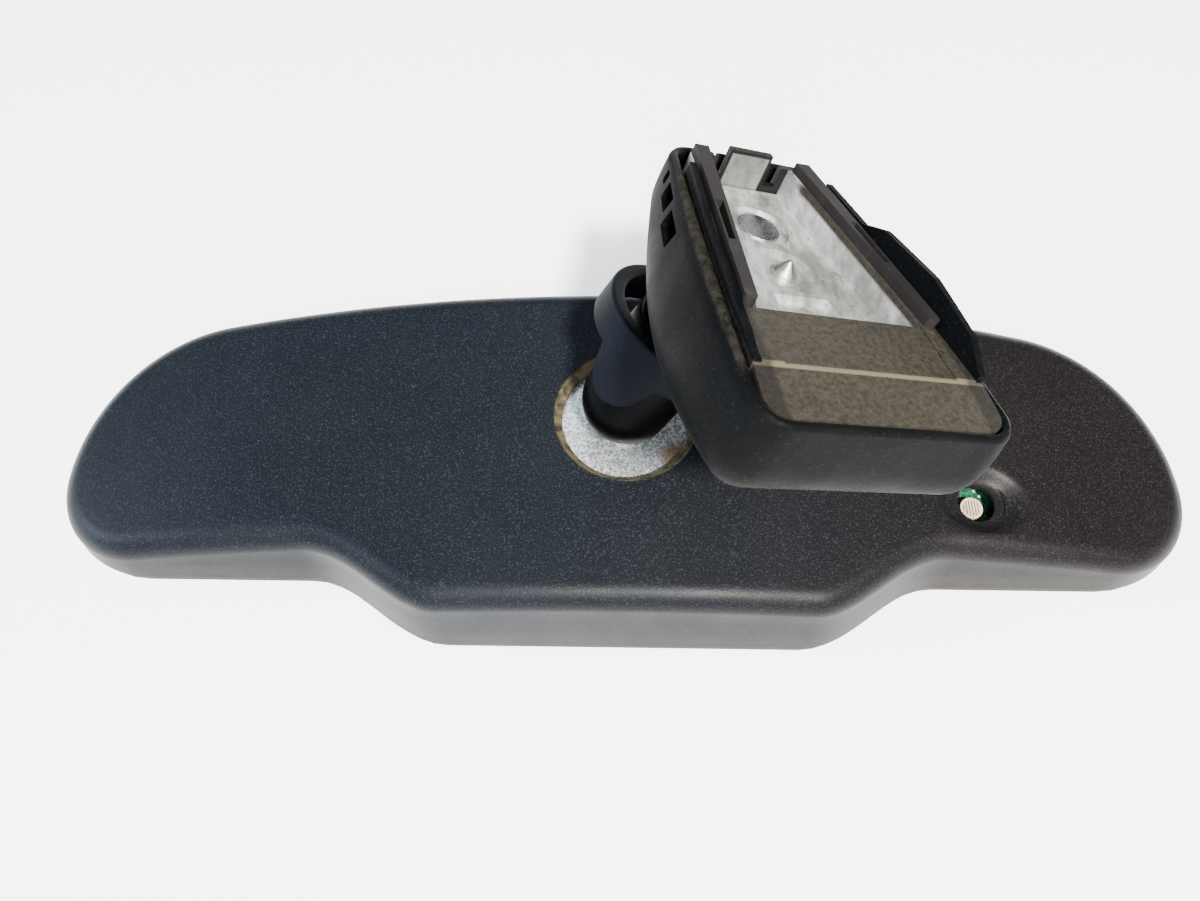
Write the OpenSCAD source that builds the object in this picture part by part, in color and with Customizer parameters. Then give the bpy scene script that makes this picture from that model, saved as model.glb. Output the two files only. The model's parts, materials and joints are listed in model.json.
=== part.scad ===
// Interior rearview mirror, lying on its glass, with its windshield foot standing up.
// The origin is on the rest plane, under the middle of the head.
// +X runs along the mirror, +Y points to its top edge and +Z away from the glass.

/* [Head] */
// Overall length of the mirror head
head_l = 252; // [220:1:300]
// Overall height of the mirror head, with its lobe
head_tall = 80.5; // [76:0.5:98]
// How far the lobe hangs under the wings
lobe_step = 14; // [11:0.5:17]
// Height of the ball's axis above the head's middle
ball_up = 4.8; // [0:0.1:6]
// Width of the lobe's straight lower edge
lobe_w = 76; // [60:1:92]
// Length of the blend from the lobe to each wing
lobe_blend = 31; // [26:1:40]
// Height of the back face above the rest plane
head_h = 24; // [22:0.5:30]
// Radius of the large upper corners
corner_up_r = 39; // [30:1:42]
// Radius of the tighter lower corners
corner_low_r = 21; // [14:1:24]
// Radius of the arched top edge
top_arch_r = 644; // [500:10:900]
// Wall of the rear housing
housing_wall = 2; // [1.5:0.1:2.5]
// Room between the carrier plate and the back's inner face at the head's ends
end_gap = 0.7; // [0.6:0.1:4]
// Rounding of the back face's edge
edge_r = 5; // [4:0.5:5.5]
// Lean of the side walls, in degrees
draft = 10; // [4:0.5:11]
// Height of the bezel's visible rim
bezel_h = 3; // [2.5:0.1:4]

/* [Glass] */
// Bezel lip in front of the glass
lip_t = 1.2; // [1:0.1:1.6]
// Width of the bezel's lip round the glass
lip_w = 3; // [2:0.5:5]
// Thickness of each glass
glass_t = 2; // [1.6:0.1:2.2]
// Gap between the two glasses
cell_gap = 0.2; // [0.15:0.05:0.4]
// Thickness of the adhesive foam pad
pad_t = 0.8; // [0.5:0.1:1.2]
// Thickness of the carrier plate
carrier_t = 1.6; // [1.2:0.1:2]

/* [Electronics] */
// Thickness of the circuit board
board_t = 1.6; // [1:0.1:1.6]
// Gap from the carrier plate to the board
board_gap = 2; // [1.5:0.5:3]
// Light sensor's distance from the ball along the mirror
sensor_x = 75; // [60:0.5:80]
// Light sensor's distance below the ball
sensor_y = 16.5; // [12:0.5:20]
// Radius of the light sensor's hole
sensor_hole_r = 4.2; // [3:0.1:5]
// Width of the push button
button_w = 15; // [10:0.5:18]
// Travel of the push button
button_travel = 0.5; // [0.3:0.1:0.8]

/* [Ball joint] */
// Radius of both balls
ball_r = 6.5; // [6:0.1:6.8]
// Running clearance round balls, seats and shanks
run_gap = 0.05; // [0.03:0.01:0.08]
// Height of the head's ball above the mount plate
ball_rise = 11; // [10.5:0.5:14]
// Thickness of the steel mount plate
plate_t = 2; // [1.5:0.1:2.5]
// Radius of the ball opening in the housing
opening_r = 13.9; // [13:0.1:16]
// Radius of each ball's neck
neck_r = 3.2; // [2.8:0.1:3.4]

/* [Stay] */
// Distance between the two ball centres
stay_l = 35; // [33:0.5:44]
// Lean of the stay from the plate's normal
stay_lean = 36; // [0:1:40]
// Direction the stay leans in
stay_azimuth = 28; // [0:1:90]
// Outer radius of the stay tube
tube_r = 9.5; // [9.2:0.1:10.5]
// Wall of the stay tube
tube_wall = 1.5; // [1.2:0.1:1.8]
// Outer radius of the stay's collar
collar_r = 14; // [12:0.5:15]
// Sideways offset of the collar
collar_shift = 2.5; // [0:0.5:3]

/* [Foot] */
// Half width of the foot at its near end
foot_near = 22.5; // [20:0.5:26]
// Half width of the foot at its far end
foot_far = 14.3; // [13:0.5:18]
// Length of the foot
foot_l = 71; // [67:1:80]
// From the ball centre to the foot's near end
foot_back = 54; // [50:1:60]
// From the ball centre up to the foot's land
foot_rise = 17; // [16:0.5:20]
// Depth of the foot's cover under the land
cover_d = 15; // [14:0.5:16]
// How much deeper the cover is halfway along than at its ends
cover_belly = 4.5; // [2:0.5:5]
// How far the cover's sides bulge out under its rim, halfway along
cover_bulge = 4.5; // [1:0.5:4.5]
// How much higher the cover's rim is halfway along than at its ends
rim_rise = 1; // [0.5:0.5:3]
// How far the right side bar stands above the land
bar_rise = 5.5; // [3:0.5:6]
// How far the left side bar stands above the land
low_bar_rise = 1.5; // [1:0.5:3]
// Wall of the foot's cover
cover_wall = 1.6; // [1.2:0.1:2]
// Depth of the button pocket
pocket_d = 4.8; // [3:0.1:5.2]
// Thickness of the pocket's floor
floor_t = 4.2; // [3.5:0.1:4.4]
// Half width of the pocket's mouth at its near end
pocket_near = 15.5; // [13:0.1:16]
// Half width of the pocket's mouth at its far end
pocket_far = 9; // [7:0.1:10]
// Length of the pocket
pocket_l = 43; // [36:0.5:44]
// Lean of the foot's face from the horizontal
foot_lean = 26.5; // [10:0.5:35]
// Direction the foot's face leans in
foot_azimuth = 48; // [0:1:90]
// Turn of the foot in its own plane
foot_turn = -37; // [-60:1:30]

/* [Hidden] */
$fn = 64;
eps = 0.01;

// Edges of the head, from its middle
head_top = head_tall / 2;
lobe_drop = head_tall / 2;
wing_drop = lobe_drop - lobe_step;
glass_mid = (head_top - wing_drop) / 2;
glass_half = (head_top + wing_drop) / 2;

// Heights of the head's layers above the rest plane
glass_z = lip_t;
seal_z = glass_z + glass_t;
rear_glass_z = seal_z + cell_gap;
pad_z = rear_glass_z + glass_t;
carrier_z = pad_z + pad_t;
carrier_top = carrier_z + carrier_t;
board_z = carrier_top + board_gap;
board_top = board_z + board_t;
inner_z = head_h - housing_wall;
// How much lower the back face is at the head's ends than in its middle
crown = inner_z - carrier_top - end_gap;
screw_head_t = 1.2;
screw_head_r = 2.7;
screw_gap = 0.28;
post_x = 22;
plate_top = inner_z - fall(post_x + screw_head_r) - screw_head_t - screw_gap;
plate_z = plate_top - plate_t;
ball_z = plate_top + ball_rise;

// Glass stack's inset from the head's outline, and the opening in front of it
glass_inset = 2;
window_inset = glass_inset + lip_w;
seam_step = 0.35;
clip_w = 3;
clip_y = glass_half - glass_inset - 7;

// Plate's fastening
post_y = 14;
post_r = 3.2;
screw_r = 1.5;

// Parts in the lobe
button_y = -(wing_drop + lobe_drop) / 2 + 0.5;
button_d = 6;
part_gap = 0.35;
led_x = button_w / 2 + 6;
glare_x = -button_w / 2 - 8;
switch_face = board_z - 4;
lobe_r = 1.6;
cell_r = 2.4;
cell_lift = 0.8;
sensor_top = head_h - fall(sensor_x);
dish_d = 2.4;
dish_out = 5;

// Circuit board's ends and lower edge
board_x0 = -52;
board_x1 = sensor_x + 10.5;
board_y0 = ball_up - sensor_y - 6;

// Connector header
header_x = 45;
header_y = ball_up + 9;
header_w = 19;
header_d = 8;
header_wall = 1.2;
header_top = head_h - fall(header_x + header_w / 2) - 0.6;

// Balls and stay, along the stay's own axis
socket_r = ball_r + run_gap;
mouth_s = 0.275 * ball_r;
mouth_drop = 3.2;
bore_r = tube_r - tube_wall;
seat_len = 8;
seat_start = 2.2;
shank_r = 4;
shoulder_r = 5.5;
shoulder_t = 1;
collar_s = 17;
collar_h = 6;
sleeve_r = tube_r + 1.1;

// Foot, in its own frame: the ball's centre is the origin, the land is at foot_rise
land_w = foot_rise;
floor_w = land_w - pocket_d;
under_w = floor_w - floor_t;
near_v = -foot_back;
far_v = foot_l - foot_back;
land_v = near_v + 11;
pocket_v = land_v + 12.2;
pocket_end = pocket_v + pocket_l;
side_bulge = 1.3;
rim_w = land_w - 1;
bar_gap = 0.2;
bar_t = 1.2;
arm_t = 1.8;
arm_z = land_w + 0.3;
cone_v = -13;
cone_r = 2.3;
cone_rise = 2.1;
tab_half = 4.3;
tab_t = 1.4;
notch_w = 2.6;
stay_hole_r = tube_r + 1.7;

// An outline is a list of [x, y, nx, ny]: a point and the unit normal that points inwards

function arc(c, r, a0, a1, n) =
  [for (i = [0:n])
    let (a = a0 + (a1 - a0) * i / n)
    [c[0] + r * cos(a), c[1] + r * sin(a), -cos(a), -sin(a)]];

function mirrored(p) = [for (i = [len(p) - 2:-1:1]) [-p[i][0], p[i][1], -p[i][2], p[i][3]]];

function inset(p, d) = [for (q = p) [q[0] + d * q[2], q[1] + d * q[3]]];

// Right half of the head's outline, from the bottom's middle round to the top's middle
corner_x = head_l / 2 - corner_up_r;
corner_y = head_top - top_arch_r + sqrt(pow(top_arch_r - corner_up_r, 2) - pow(corner_x, 2));
corner_a = atan2(corner_y - head_top + top_arch_r, corner_x);
low_r = min(corner_low_r, corner_y + wing_drop - 0.5);
blend_steps = 10;

function lobe_edge() = concat(
  [[0, -lobe_drop, 0, 1], [lobe_w / 4, -lobe_drop, 0, 1]],
  [for (i = [0:blend_steps])
    let (a = 180 * i / blend_steps, rise = lobe_drop - wing_drop,
      slope = rise * PI * sin(a) / 2 / lobe_blend, n = norm([slope, 1]))
    [lobe_w / 2 + lobe_blend * i / blend_steps, -lobe_drop + rise * (1 - cos(a)) / 2,
     -slope / n, 1 / n]]);

function flat_edge() = [[0, -wing_drop, 0, 1], [lobe_w / 2, -wing_drop, 0, 1]];

function right_half(lobe) = concat(
  lobe ? lobe_edge() : flat_edge(),
  arc([head_l / 2 - low_r, low_r - wing_drop], low_r, -90, 0, 8),
  arc([corner_x, corner_y], corner_up_r, 0, corner_a, 12),
  arc([0, head_top - top_arch_r], top_arch_r, corner_a + (90 - corner_a) / 6, 90, 5));

function head_outline(lobe = true) = let (h = right_half(lobe)) concat(h, mirrored(h));

// How far the back face has fallen at x along the head
function fall(x) = crown * pow(2 * x / head_l, 2);

function ring(outline, d, z) = [for (q = inset(outline, d)) [q[0], q[1], z]];

function reversed(list) = [for (i = [len(list) - 1:-1:0]) list[i]];

// Closed skin through rings of points, with a fan round the point low and one round the point high
module skin(rings, low, high) {
  n = len(rings[0]);
  m = len(rings);
  pts = concat([for (r = rings) each r], [low, high]);
  sides = [for (j = [0:m - 2]) for (i = [0:n - 1])
    let (k = (i + 1) % n)
    each [[j * n + i, j * n + k, (j + 1) * n + k], [j * n + i, (j + 1) * n + k, (j + 1) * n + i]]];
  caps = [for (i = [0:n - 1])
    let (k = (i + 1) % n, last = (m - 1) * n)
    each [[k, i, m * n], [last + i, last + k, m * n + 1]]];
  polyhedron(pts, concat(sides, caps), convexity = 8);
}

// Ring at the angle a of the back's rounded edge, from 0 at the wall to 90 at the back face
function back_ring(a, top, r, extra) = [for (q = head_outline())
  let (wall_h = top - r - bezel_h - fall(q[0]),
    d = extra + wall_h * tan(draft) + r * (1 - cos(a)),
    x = q[0] + d * q[2])
  [x, q[1] + d * q[3], top - r * (1 - sin(a)) - fall(x)]];

// Rings from the middle of a crowned back face out to its edge and down to its wall
function back_rings(top, r, extra) = concat(
  [for (k = [0.2:0.2:0.8])
    [for (q = back_ring(90, top, r, extra)) [k * q[0], k * q[1], top - fall(k * q[0])]]],
  [for (a = [90:-15:0]) back_ring(a, top, r, extra)]);

module plate(outline, z, t) {
  translate([0, 0, z])
    linear_extrude(t)
      polygon(outline);
}

module box(x0, y0, z0, x1, y1, z1) {
  translate([x0, y0, z0])
    cube([x1 - x0, y1 - y0, z1 - z0]);
}

// A box centred in x and y
module slab(x, y, w, d, z, t) {
  translate([x - w / 2, y - d / 2, z])
    cube([w, d, t]);
}

// Moves a piece to the ball's axis, or to the light sensor's axis
module at_ball(z = 0) {
  translate([0, ball_up, z])
    children();
}

module at_sensor(z) {
  translate([sensor_x, ball_up - sensor_y, z])
    children();
}

module posts(r, z, t) {
  for (x = [-post_x, post_x], y = [-post_y, post_y])
    translate([x, ball_up + y, z])
      cylinder(r = r, h = t);
}

module stay_frame() {
  at_ball(ball_z)
    rotate([0, 0, stay_azimuth])
      rotate([0, stay_lean, 0])
        children();
}

module foot_frame() {
  stay_frame()
    translate([0, 0, stay_l])
      rotate([0, -stay_lean, 0])
        rotate([0, 0, foot_azimuth - stay_azimuth])
          rotate([0, foot_lean, 0])
            rotate([0, 0, foot_turn])
              children();
}

// Head

module rear_housing() {
  rings = concat(
    back_rings(head_h, edge_r, 0),
    [ring(head_outline(), 0, bezel_h), ring(head_outline(), housing_wall, bezel_h)],
    reversed(back_rings(inner_z, edge_r - housing_wall, housing_wall)));
  color([0.13, 0.14, 0.16])
    difference() {
      union() {
        skin(rings, [0, 0, head_h], [0, 0, inner_z]);
        at_ball(plate_top + 0.3)
          cylinder(r = opening_r + 2.2, h = inner_z - plate_top);
        at_sensor(sensor_top - dish_d - 1.5)
          cylinder(r = sensor_hole_r + dish_out, h = dish_d + 0.4);
      }
      at_ball(plate_top - 1)
        cylinder(r = opening_r, h = head_h);
      at_ball(head_h - housing_wall)
        cylinder(r1 = opening_r, r2 = opening_r + 1.8, h = housing_wall + eps);
      at_sensor(board_top + 1)
        cylinder(r = sensor_hole_r, h = head_h);
      at_sensor(sensor_top - dish_d)
        cylinder(r1 = sensor_hole_r, r2 = sensor_hole_r + 2 * dish_out, h = 2 * dish_d);
      slab(header_x, header_y, header_w + 1, header_d + 1, header_top - 3, head_h);
    }
}

module bezel() {
  color([0.1, 0.1, 0.11])
    difference() {
      union() {
        difference() {
          plate(inset(head_outline(), seam_step), 0, bezel_h);
          plate(inset(head_outline(), housing_wall), lip_t, bezel_h);
        }
        slab(0, button_y, button_w + 3, button_d + 3, lip_t - eps, 1.5);
      }
      plate(inset(head_outline(false), window_inset), -1, bezel_h + 1);
      slab(0, button_y, button_w, button_d, -1, 6);
      translate([led_x, button_y, -1])
        cylinder(r = lobe_r, h = 6);
      translate([glare_x, button_y, -1])
        cylinder(r = 3, h = 6);
    }
}

module front_glass() {
  color([0.7, 0.76, 0.8])
    plate(inset(head_outline(false), glass_inset + 0.3), glass_z, glass_t);
}

module cell_seal() {
  color([0.85, 0.85, 0.8])
    difference() {
      plate(inset(head_outline(false), glass_inset + 1.3), seal_z, cell_gap);
      plate(inset(head_outline(false), glass_inset + 3.3), seal_z - 1, cell_gap + 2);
    }
}

module rear_glass() {
  color([0.55, 0.6, 0.62])
    plate(inset(head_outline(false), glass_inset + 1), rear_glass_z, glass_t);
}

// Two spring strips that feed the cell, one behind the top edge and one behind the bottom edge
module bus_clips() {
  color([0.75, 0.7, 0.5])
    for (y = [-clip_y, clip_y])
      slab(0, glass_mid + y, head_l / 2, clip_w, pad_z, 0.5);
}

module foam_pad() {
  color([0.3, 0.3, 0.3])
    difference() {
      plate(inset(head_outline(false), glass_inset + 2), pad_z, pad_t);
      slab(0, glass_mid, head_l / 2 + 1, 2 * clip_y + clip_w + 1, pad_z - 1, pad_t + 2);
    }
}

module carrier_plate() {
  color([0.2, 0.2, 0.22])
    difference() {
      union() {
        plate(inset(head_outline(false), glass_inset + 2), carrier_z, carrier_t);
        posts(post_r, carrier_z, plate_z - carrier_z);
        for (x = [board_x0 + 7, board_x1 - 14])
          translate([x, ball_up, carrier_z])
            cylinder(r = 2.5, h = board_z - carrier_z);
      }
      posts(screw_r - 0.2, carrier_top, plate_z);
    }
}

module mount_plate() {
  color([0.72, 0.74, 0.74])
    difference() {
      hull()
        for (x = [-post_x, post_x], y = [-post_y, post_y])
          translate([x, ball_up + y, plate_z])
            cylinder(r = 5, h = plate_t, $fn = 32);
      at_ball(plate_z - 1)
        cylinder(r = shank_r, h = plate_t + 2);
      posts(screw_r + 0.15, plate_z - 1, plate_t + 2);
    }
}

module plate_screws() {
  color([0.6, 0.6, 0.62])
    for (x = [-post_x, post_x], y = [-post_y, post_y])
      translate([x, ball_up + y, 0])
        difference() {
          union() {
            translate([0, 0, plate_top])
              cylinder(r = screw_head_r, h = screw_head_t);
            translate([0, 0, plate_top - 9])
              cylinder(r = screw_r - 0.2, h = 9 + eps);
          }
          translate([0, 0, plate_top + screw_head_t - 0.9])
            cylinder(r = 1.2, h = 2, $fn = 6);
        }
}

module circuit_board() {
  color([0.1, 0.4, 0.25])
    difference() {
      union() {
        box(board_x0, board_y0, board_z, board_x1, board_y0 + 43, board_top);
        box(-24, 5 - lobe_drop, board_z, 24, board_y0 + 1, board_top);
      }
      posts(post_r + 0.6, board_z - 1, board_t + 2);
    }
}

module controller_chip() {
  color([0.12, 0.12, 0.13])
    union() {
      slab(-35, 0, 12, 12, board_top, 2);
      for (i = [-4:4])
        slab(-35 + i * 1.27, 0, 0.5, 15, board_top, 0.4);
    }
}

// Two cans, one coil and a row of chip parts
module power_parts() {
  color([0.25, 0.25, 0.3])
    union() {
      for (x = [-47, 58])
        translate([x, ball_up + 12, board_top])
          cylinder(r = 3.1, h = 5.5);
      slab(0, ball_up - 1, 8, 8, board_top, 3);
      for (i = [0:4])
        slab(-12 + 6 * i, board_y0 + 3, 2, 1.3, board_top, 0.8);
    }
}

module connector_header() {
  color([0.15, 0.15, 0.16])
    difference() {
      slab(header_x, header_y, header_w, header_d, board_top, header_top - board_top);
      slab(header_x, header_y, header_w - 2 * header_wall, header_d - 2 * header_wall,
        board_top + 3, header_top);
    }
}

module connector_pins() {
  color([0.8, 0.7, 0.4])
    for (i = [-3:3])
      slab(header_x + i * 2.2, header_y, 0.6, 0.6, board_top + 3 - eps, 2.2);
}

module forward_photocell() {
  color([0.84, 0.8, 0.6])
    at_sensor(board_top + cell_lift)
      cylinder(r = cell_r, h = 1.8);
}

module photocell_leads() {
  color([0.8, 0.8, 0.82])
    for (x = [-1.3, 1.3])
      at_sensor(board_top)
        translate([x, 0, 0])
          cylinder(r = 0.25, h = cell_lift);
}

module glare_sensor() {
  color([0.2, 0.2, 0.22])
    slab(glare_x, button_y, 5, 4, board_z - 2.2, 2.2);
}

module sensor_window() {
  color([0.6, 0.65, 0.7])
    translate([glare_x, button_y, 0.6])
      cylinder(r = 3 - part_gap / 4, h = 3);
}

module tact_switch() {
  color([0.3, 0.3, 0.32])
    union() {
      slab(0, button_y, 6, 6, switch_face + 1, board_z - switch_face - 1);
      translate([0, button_y, switch_face])
        cylinder(r = 1.7, h = 1.2);
    }
}

module push_button() {
  color([0.08, 0.08, 0.09])
    union() {
      slab(0, button_y, button_w - 2 * part_gap, button_d - 2 * part_gap, 0.6, 3);
      translate([0, button_y, 3])
        cylinder(r = 2, h = switch_face - button_travel - 0.1 - 3);
    }
}

module indicator_led() {
  color([0.6, 0.85, 0.5])
    slab(led_x, button_y, 2.4, 1.6, board_z - 1.2, 1.2);
}

module light_pipe() {
  color([0.85, 0.9, 0.85])
    translate([led_x, button_y, 0.6])
      cylinder(r = lobe_r - part_gap / 4, h = board_z - 1.4 - 0.6);
}

// Ball joints and stay

// A ball on a neck, a shoulder above the plate it is riveted in, and a rivet head behind it
module ball_stud(reach, plate_thick) {
  union() {
    sphere(r = ball_r);
    translate([0, 0, -reach])
      cylinder(r = neck_r, h = reach);
    translate([0, 0, -reach + run_gap])
      cylinder(r = shoulder_r, h = shoulder_t);
    translate([0, 0, -reach - plate_thick - run_gap])
      cylinder(r = shank_r - run_gap, h = plate_thick + 2 * run_gap + eps);
  }
}

module head_ball_stud() {
  color([0.55, 0.56, 0.58])
    at_ball(ball_z)
      union() {
        ball_stud(ball_rise, plate_t);
        translate([0, 0, -ball_rise - plate_t - run_gap - 1.5])
          cylinder(r = shoulder_r, h = 1.5);
      }
}

module lower_seat() {
  color([0.85, 0.85, 0.8])
    stay_frame()
      difference() {
        translate([0, 0, seat_start])
          cylinder(r = bore_r - run_gap, h = seat_len);
        sphere(r = socket_r);
        cylinder(r = 2.5, h = 2 * seat_len);
      }
}

module upper_seat() {
  color([0.85, 0.85, 0.8])
    stay_frame()
      difference() {
        translate([0, 0, stay_l - seat_start - seat_len])
          cylinder(r = bore_r - run_gap, h = seat_len);
        translate([0, 0, stay_l])
          sphere(r = socket_r);
        translate([0, 0, stay_l - 2 * seat_len])
          cylinder(r = 2.5, h = 2 * seat_len);
      }
}

// A tube of six-sided section swept along a helix
module stay_spring() {
  wire = 0.8;
  coil_r = 5.6;
  turns = 5;
  steps = 18;
  sides = 6;
  s0 = seat_start + seat_len + wire + 0.1;
  s1 = stay_l - seat_start - seat_len - wire;
  n = turns * steps;
  pts = [for (i = [0:n]) for (k = [0:sides - 1])
    let (a = 360 * i / steps, b = 360 * k / sides, r = coil_r + wire * cos(b))
    [r * cos(a), r * sin(a), s0 + (s1 - s0) * i / n + wire * sin(b)]];
  skin = [for (i = [0:n - 1]) for (k = [0:sides - 1])
    let (q = (k + 1) % sides, a = i * sides, b = a + sides)
    each [[a + k, b + q, a + q], [a + k, b + k, b + q]]];
  ends = [[for (k = [0:sides - 1]) k], [for (k = [sides - 1:-1:0]) n * sides + k]];
  color([0.6, 0.6, 0.62])
    stay_frame()
      polyhedron(pts, concat(skin, ends), convexity = 8);
}

module stay_tube() {
  color([0.06, 0.07, 0.1])
    stay_frame()
      difference() {
        union() {
          cylinder(r = tube_r, h = stay_l);
          sphere(r = tube_r);
          translate([0, 0, stay_l])
            sphere(r = tube_r);
        }
        translate([0, 0, 1.2])
          cylinder(r = bore_r, h = stay_l - 2.4);
        for (s = [0, stay_l])
          translate([0, 0, s])
            sphere(r = socket_r);
        // The lower mouth faces the plate, and the upper one is square to the stay
        rotate([0, -stay_lean, 0])
          translate([0, 0, -mouth_drop - tube_r])
            cylinder(r = tube_r + 1, h = tube_r);
        translate([0, 0, stay_l + mouth_s])
          cylinder(r = tube_r + 1, h = tube_r);
      }
}

// A clip-on collar: a sleeve on the tube and an offset crescent flange with a tongue
module stay_collar() {
  side_a = 125;
  color([0.07, 0.09, 0.12])
    stay_frame()
      difference() {
        union() {
          translate([0, 0, collar_s])
            cylinder(r = sleeve_r, h = collar_h + 4);
          translate([collar_shift * cos(side_a), collar_shift * sin(side_a), collar_s])
            cylinder(r = collar_r, h = collar_h);
          translate([collar_shift * cos(side_a), collar_shift * sin(side_a), collar_s - 6])
            rotate([0, 0, 190])
              rotate_extrude(angle = 50)
                translate([collar_r - 2, 0])
                  square([2, 7]);
        }
        translate([0, 0, collar_s - 8])
          cylinder(r = tube_r + 0.02, h = collar_h + 16);
      }
}

module foot_ball_stud() {
  color([0.55, 0.56, 0.58])
    foot_frame()
      mirror([0, 0, 1])
        ball_stud(under_w, floor_t - 0.3);
}

// Foot, in its own frame

function side_x(v) =
  let (k = (v - near_v) / foot_l)
  foot_near + (foot_far - foot_near) * k + side_bulge * sin(180 * k);

foot_corner = 5.5;
far_corner = 5.5;
bowl_in = 5;
bowl_h = 8;

// Angle of the side's outward normal
function side_a(v) = atan(side_x(v - 0.5) - side_x(v + 0.5));

near_a = side_a(near_v + foot_corner);
far_a = side_a(far_v - far_corner);
side_v0 = near_v + foot_corner * (1 + sin(near_a));
side_v1 = far_v - far_corner * (1 - sin(far_a));

function foot_half() = concat(
  [[0, near_v, 0, 1]],
  arc([side_x(side_v0) - foot_corner * cos(near_a), near_v + foot_corner], foot_corner,
    -90, near_a, 6),
  [for (i = [1:6])
    let (v = side_v0 + (side_v1 - side_v0) * i / 7)
    [side_x(v), v, -cos(side_a(v)), -sin(side_a(v))]],
  arc([side_x(side_v1) - far_corner * cos(far_a), far_v - far_corner], far_corner, far_a, 90, 4),
  [[0, far_v, 0, -1]]);

function foot_outline() = let (h = foot_half()) concat(h, mirrored(h));

function pocket_x(v) = pocket_near + (pocket_far - pocket_near) * (v - pocket_v) / pocket_l;

// Outline between two heights v, each side given by a half width at each end
function taper(v0, x0, v1, x1) = [[-x0, v0], [x0, v0], [x1, v1], [-x1, v1]];

// Share of the way into the foot's middle, from 0 at its near and far ends to 1 halfway
function middle(v) = sin(180 * (v - near_v) / foot_l);

function bulge(v) = cover_bulge * middle(v);

// Height where the cover's side wall ends and its rounded bottom starts
function bowl_top(v) = rim_w + 1 - cover_d + bowl_h - cover_belly * middle(v);

// Ring at the share t of the side wall, from 0 at the rim to 1 at the bowl
function side_ring(t, wall) = [for (q = foot_outline())
  let (v = q[1], d = wall - bulge(v) * sin(90 * t), rim = rim_w + rim_rise * middle(v))
  [q[0] + d * q[2], v + d * q[3], rim + (bowl_top(v) - rim) * t]];

// Ring at the angle a of the bowl, from 0 at the side wall to 90 at the bottom
function bowl_ring(a, wall) = [for (q = foot_outline())
  let (out = bulge(q[1]), d = wall - out + (bowl_in + out - wall) * (1 - cos(a)))
  [q[0] + d * q[2], q[1] + d * q[3], bowl_top(q[1]) - (bowl_h - wall) * sin(a)]];

// Rings of the bottom, from the bowl's edge to near the middle
function bottom_rings(wall) =
  [for (k = [0.7, 0.35]) [for (q = bowl_ring(90, wall))
    let (v = cover_mid + k * (q[1] - cover_mid))
    [k * q[0], v, bowl_top(v) - (bowl_h - wall)]]];

function cover_rings(wall) = concat(
  [for (t = [0, 0.5, 1]) side_ring(t, wall)],
  [for (a = [15:15:90]) bowl_ring(a, wall)],
  bottom_rings(wall));

cover_mid = near_v + foot_l / 2;

module foot_cover() {
  bottom = bowl_top(cover_mid) - bowl_h;
  cone_h = 8;
  color([0.16, 0.17, 0.19])
    foot_frame()
      difference() {
        skin(concat(reversed(cover_rings(cover_wall)), cover_rings(0)),
          [0, cover_mid, bottom + cover_wall], [0, cover_mid, bottom]);
        translate([0, 0, -eps])
          cylinder(r = stay_hole_r, h = under_w);
        // Room for the stay to swing
        translate([0, 0, -cone_h])
          cylinder(r1 = stay_hole_r + cone_h, r2 = stay_hole_r, h = cone_h);
        translate([0, cone_v, -tube_r])
          cylinder(r = cone_r + 0.8, h = under_w + tube_r);
        box(-foot_near - 4, far_v - 26, rim_w - 5, -side_x(far_v - 22) + 3, far_v - 19, rim_w - 2.2);
        for (x = [-tab_half - notch_w, tab_half])
          box(x, pocket_end - 1, floor_w + 1.2, x + notch_w, far_v + cover_bulge + 1, arm_z + 4);
      }
}

module mount_base() {
  skin = cover_wall + bar_t + 2 * bar_gap;
  base_end = pocket_end + tab_t;
  color([0.7, 0.7, 0.68])
    foot_frame()
      difference() {
        union() {
          difference() {
            intersection() {
              plate(inset(foot_outline(), skin), under_w, arm_z - under_w);
              box(-foot_near, land_v, under_w, foot_near, base_end, arm_z);
            }
            plate(taper(pocket_v, pocket_x(pocket_v) - 0.8, pocket_end, pocket_x(pocket_end) - 0.8),
              floor_w, foot_rise);
            box(-pocket_near + 0.5, land_v - 1, land_w, pocket_near - 0.5, pocket_v + 1, arm_z + 1);
          }
          box(-tab_half, pocket_end, floor_w - 1, tab_half, base_end, arm_z + arm_t);
          // Sloping lip ahead of the land
          intersection() {
            plate(inset(foot_outline(), cover_wall + bar_gap), under_w, land_w);
            translate([-foot_near, 0, 0])
              rotate([90, 0, 90])
                linear_extrude(2 * foot_near)
                  polygon([[land_v + eps, land_w], [land_v + eps, under_w], [near_v, under_w + 4],
                    [near_v, land_w - 1.5]]);
          }
        }
        for (x = [-tab_half - notch_w, tab_half])
          box(x, pocket_end - 1, floor_w + 1.2, x + notch_w, base_end + 1, arm_z + 4);
        translate([0, 0, under_w - 1])
          cylinder(r = shank_r, h = floor_t + 2);
        translate([0, cone_v, under_w - 1])
          cylinder(r = cone_r + run_gap, h = floor_t + 2);
        translate([0, cone_v, floor_w - 0.8])
          cylinder(r1 = 4.5, r2 = 6.2, h = 0.8 + eps);
        translate([0, 0, floor_w - 0.6])
          cylinder(r = 5.6, h = 1);
        box(-5, pocket_v + 6, floor_w - 1.4, 5.5, pocket_v + 11, floor_w + 1);
      }
}

// Outer edge of a hold-down arm, just inside the side bar
function arm_out(v) = side_x(v) - cover_wall - bar_t - 2 * bar_gap - 0.2;

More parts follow.
